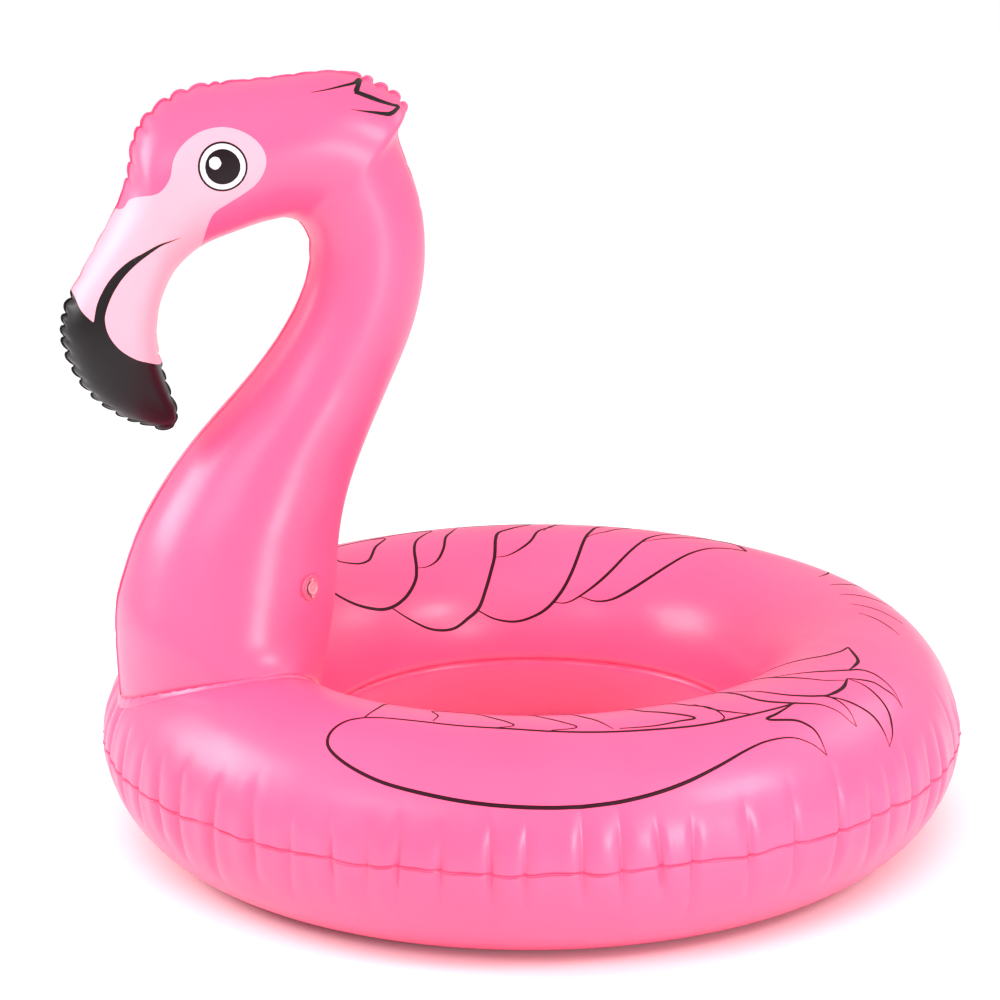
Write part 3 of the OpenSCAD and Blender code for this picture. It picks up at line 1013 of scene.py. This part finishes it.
# Profiles of the turned pieces, as radius and height, outlines of the flat ones, as x and y, and
# the strap's path, as x and z
BASE_PROFILE = [(8.1, -1.2), (8, 0.6), (8.2, 1.2), (8.7, 1.45), (9.3, 1.35), (9.7, 1), (10.6, 1),
                (11.5, 1), (11.9, 1.25), (12.4, 1.25), (12.9, 0.9), (13.1, 0.2), (13.1, -1.6),
                (9, -1.6)]
WELD_LAND = (5, 6, 7)     # the base profile's points on its weld land, which has pressed ribs
RIBS = 48
RIB_HEIGHT = 0.14
BELLOWS_PROFILE = [(7.85, 1), (7.7, 0.2), (7.55, -2), (7.7, -4.5), (7.45, -7), (7.6, -9.4),
                   (7.2, -11.2), (6.4, -11.9), (5.65, -12), (5.65, -11.4), (6.2, -11.3),
                   (6.7, -10.7), (7, -9.2), (6.85, -7), (7.1, -4.5), (6.95, -2), (7.1, 0.2),
                   (7.2, 1)]
STEM_PROFILE = [(3.9, -11.6), (3.9, 1.5), (4.3, 1.95), (5.2, 2), (5.6, 1.75), (5.65, 1.2), (5.4, 0.8),
                (5.35, -10.8), (5.55, -11.2), (5.5, -11.8), (5.2, -12), (4.3, -12)]
PEG_PROFILE = [(0, 2.4), (0, -6), (3, -6), (3.5, -5.6), (3.8, -4.6), (3.85, -4), (3.65, -3.2),
               (3.7, 1.4), (3.85, 2.4)]
HEAD_PROFILE = [(0, 2.1), (6.3, 2.1), (6.85, 2.35), (7, 3), (6.9, 3.6), (6.4, 4), (5.6, 4),
                (5.1, 3.6), (4.7, 3.25), (2.4, 3.2), (1.8, 3.45), (0.9, 3.6), (0, 3.6)]
FLAP_PROFILE = [(0, -12.15), (4.1, -12.15), (4.5, -12.3), (4.6, -12.55), (4.3, -12.85), (3, -12.9),
                (2.6, -13.1), (0.8, -13.2), (0, -13.2)]
STRAP_PATH = [(5.7, 1.65), (7.2, 1.6), (8.8, 1.75), (9.9, 2.25), (10.1, 2.85), (9.5, 3.35), (8.4, 3.5),
              (7.1, 3.45)]
STRAP_HALF = 2.0      # half the strap's width
STRAP_THICK = 0.55
TAB_OUTLINE = [(-5.6, -2.6), (-8, -2.5), (-9.8, -2.2), (-10.4, -1.4), (-10.6, 0), (-10.4, 1.4),
               (-9.8, 2.2), (-8, 2.5), (-5.6, 2.6)]
TAB_RIB = [(-9.9, -0.35), (-8, -0.35), (-8, 0.35), (-9.9, 0.35)]
TONGUE_OUTLINE = [(-3.6, -1.5), (-5.3, -1.5), (-5.6, -1.1), (-5.6, 1.1), (-5.3, 1.5), (-3.6, 1.5)]


def ribbed(t, index):
    """Rise of the base's point index at turn t."""
    return RIB_HEIGHT * math.sin(RIBS * t) if index in WELD_LAND else 0.0


def strap_shell():
    """A flat moulded strap that bows out between the stem's rim and the plug's head."""
    way = curve_through(STRAP_PATH, 5)
    along = unit(np.gradient(way, axis=0))
    out = np.stack([along[:, 1], -along[:, 0]], -1)
    section_points = [(-1, 0.3), (-0.85, 0.5), (0.85, 0.5), (1, 0.3), (1, -0.3), (0.85, -0.5),
                      (-0.85, -0.5), (-1, -0.3)]
    narrow = 1 - 0.18 * np.sin(np.linspace(0, PI, len(way)))
    points = [(x + ox * h * STRAP_THICK, share * STRAP_HALF * n, z + oz * h * STRAP_THICK)
              for (x, z), (ox, oz), n in zip(way, out, narrow) for share, h in section_points]
    return points, capped_tube_faces(len(way), len(section_points))


# Each piece of a valve: its shells, its material and its slot
VALVE_PIECES = {
    "base": ([lathe(BASE_PROFILE, 4 * RIBS, ribbed)], valve_base, "valve_body"),
    "stem": ([lathe(STEM_PROFILE)], valve_body, "valve_body"),
    "plug": ([lathe(PEG_PROFILE), lathe(HEAD_PROFILE), plate(TAB_OUTLINE, 2.1, 3.25, 0.25),
              plate(TAB_RIB, 3.1, 3.5, 0.1)], valve_body, "valve_body"),
    "flap": ([lathe(FLAP_PROFILE), plate(TONGUE_OUTLINE, -12.8, -12.2, 0.15)], valve_film,
             "valve_film"),
    "bellows": ([lathe(BELLOWS_PROFILE)], valve_film, "valve_film"),
    "strap": ([strap_shell()], valve_body, "valve_body"),
}


def build_valve(valve_name):
    """The ring's or the neck's valve."""
    valve = VALVES[valve_name]
    pieces = {part: valve_piece(f"{valve_name}_valve_{part}", valve, *details)
              for part, details in VALVE_PIECES.items()}
    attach(pieces["base"], "float")
    for part in ("stem", "plug", "flap"):
        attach(pieces[part], f"{valve_name}_{part}")

    def spot(height):
        """A place on the valve's axis, in metres."""
        return tuple(placed([(0, 0, height)], valve)[0] * MM)

    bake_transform(pieces["bellows"])
    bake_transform(pieces["strap"])


# -------------------- the object

ring_sheet("ring_upper_sheet", low=False)
ring_sheet("ring_lower_sheet", low=True)
ring_weld("ring_outer_weld", 0, 1.1, "ring_outer_seam")
ring_weld("ring_inner_weld", PI, 0.6, "ring_inner_seam")
neck_panel("neck_left_film", -1, "neck_left_panel")
neck_panel("neck_right_film", 1, "neck_right_panel")
neck_edge_weld()
neck_base_weld()
SIDES = {"left": -1, "right": 1}
for side_name, side in SIDES.items():
    ink_lines(f"wing_print_{side_name}", WING, ring_side(side), RING_STYLE, ink)
ink_lines("tail_print", TAIL, ring_skin, RING_STYLE, ink)
for side_name, side in SIDES.items():
    ink_lines(f"mouth_print_{side_name}", MOUTH, head_side(side), HEAD_STYLE, black_print)
    ink_lines(f"crest_print_{side_name}", CREST, head_side(side), HEAD_STYLE, black_print)
for valve_name in VALVES:
    build_valve(valve_name)


# -------------------- floor, lights and camera

def floor_material():
    """Pale matt paper."""
    material = bpy.data.materials.new("floor")
    material.use_nodes = True
    shader = material.node_tree.nodes["Principled BSDF"]
    shader.inputs["Base Color"].default_value = (0.93, 0.93, 0.935, 1)
    shader.inputs["Roughness"].default_value = 0.6
    return material


# Bare numbers from here on are metres and degrees, except the floor's millimetres
FLOAT_MIDDLE = Vector((0, 0, 0.35))
floor = new_mesh("floor", [(-9000, -9000, 0), (9000, -9000, 0), (9000, 30000, 0), (-9000, 30000, 0)],
                 [[0, 1, 2, 3]], floor_material(), smooth=False)


def new_light(name, kind, power):
    """A light of that kind in the scene."""
    lamp = bpy.data.lights.new(name, kind)
    lamp.energy = power
    light = bpy.data.objects.new(name, lamp)
    bpy.context.scene.collection.objects.link(light)
    return light


def studio_light(name, azimuth, elevation, distance, size, power):
    """A soft box seen from the float's middle at that azimuth from +X and that elevation."""
    turn, rise = math.radians(azimuth), math.radians(elevation)
    way = Vector((math.cos(turn) * math.cos(rise), math.sin(turn) * math.cos(rise), math.sin(rise)))
    light = new_light(name, "AREA", power)
    light.data.shape = "RECTANGLE"
    light.data.size, light.data.size_y = size
    light.location = FLOAT_MIDDLE + way * distance
    light.rotation_euler = (-way).to_track_quat("-Z", "Y").to_euler()


def pale_world():
    """Even white surroundings, brighter where the camera sees them than as light."""
    world = bpy.data.worlds.new("studio")
    world.use_nodes = True
    nodes, links = world.node_tree.nodes, world.node_tree.links
    background = nodes["Background"]
    background.inputs["Color"].default_value = (1, 1, 1, 1)
    seen = nodes.new("ShaderNodeLightPath")
    strength = nodes.new("ShaderNodeMapRange")
    strength.inputs["To Min"].default_value = 0.6
    strength.inputs["To Max"].default_value = 1.05
    links.new(seen.outputs["Is Camera Ray"], strength.inputs["Value"])
    links.new(strength.outputs["Result"], background.inputs["Strength"])
    bpy.context.scene.world = world


studio_light("left_box", 165, 23, 2.6, (1.3, 1.0), 31)
studio_light("front_box", -69, 7, 3.4, (0.9, 0.7), 30)
studio_light("shoulder_box", -47, 31, 3.0, (0.9, 0.6), 24)
studio_light("left_front_box", -142, 30, 3.0, (1.5, 0.5), 10)
studio_light("right_box", 8, 30, 3.0, (1.4, 1.0), 11)

sun = new_light("sky_light", "SUN", 1.95)
sun.data.angle = math.radians(50)
sun.rotation_euler = (math.radians(28), 0, math.radians(-24))
sun.visible_glossy = False

pale_world()
bpy.context.scene.view_settings.view_transform = "Standard"

# The camera was fitted to the ring's outlines in the photo
camera_data = bpy.data.cameras.new("camera")
camera_data.sensor_width = 36
camera_data.lens = 122.57
camera = bpy.data.objects.new("camera", camera_data)
bpy.context.scene.collection.objects.link(camera)
camera.location = (-0.768, -3.388, 1.318)
camera.rotation_euler = [math.radians(angle) for angle in (74.576, 0.42, -12.577)]
bpy.context.scene.camera = camera
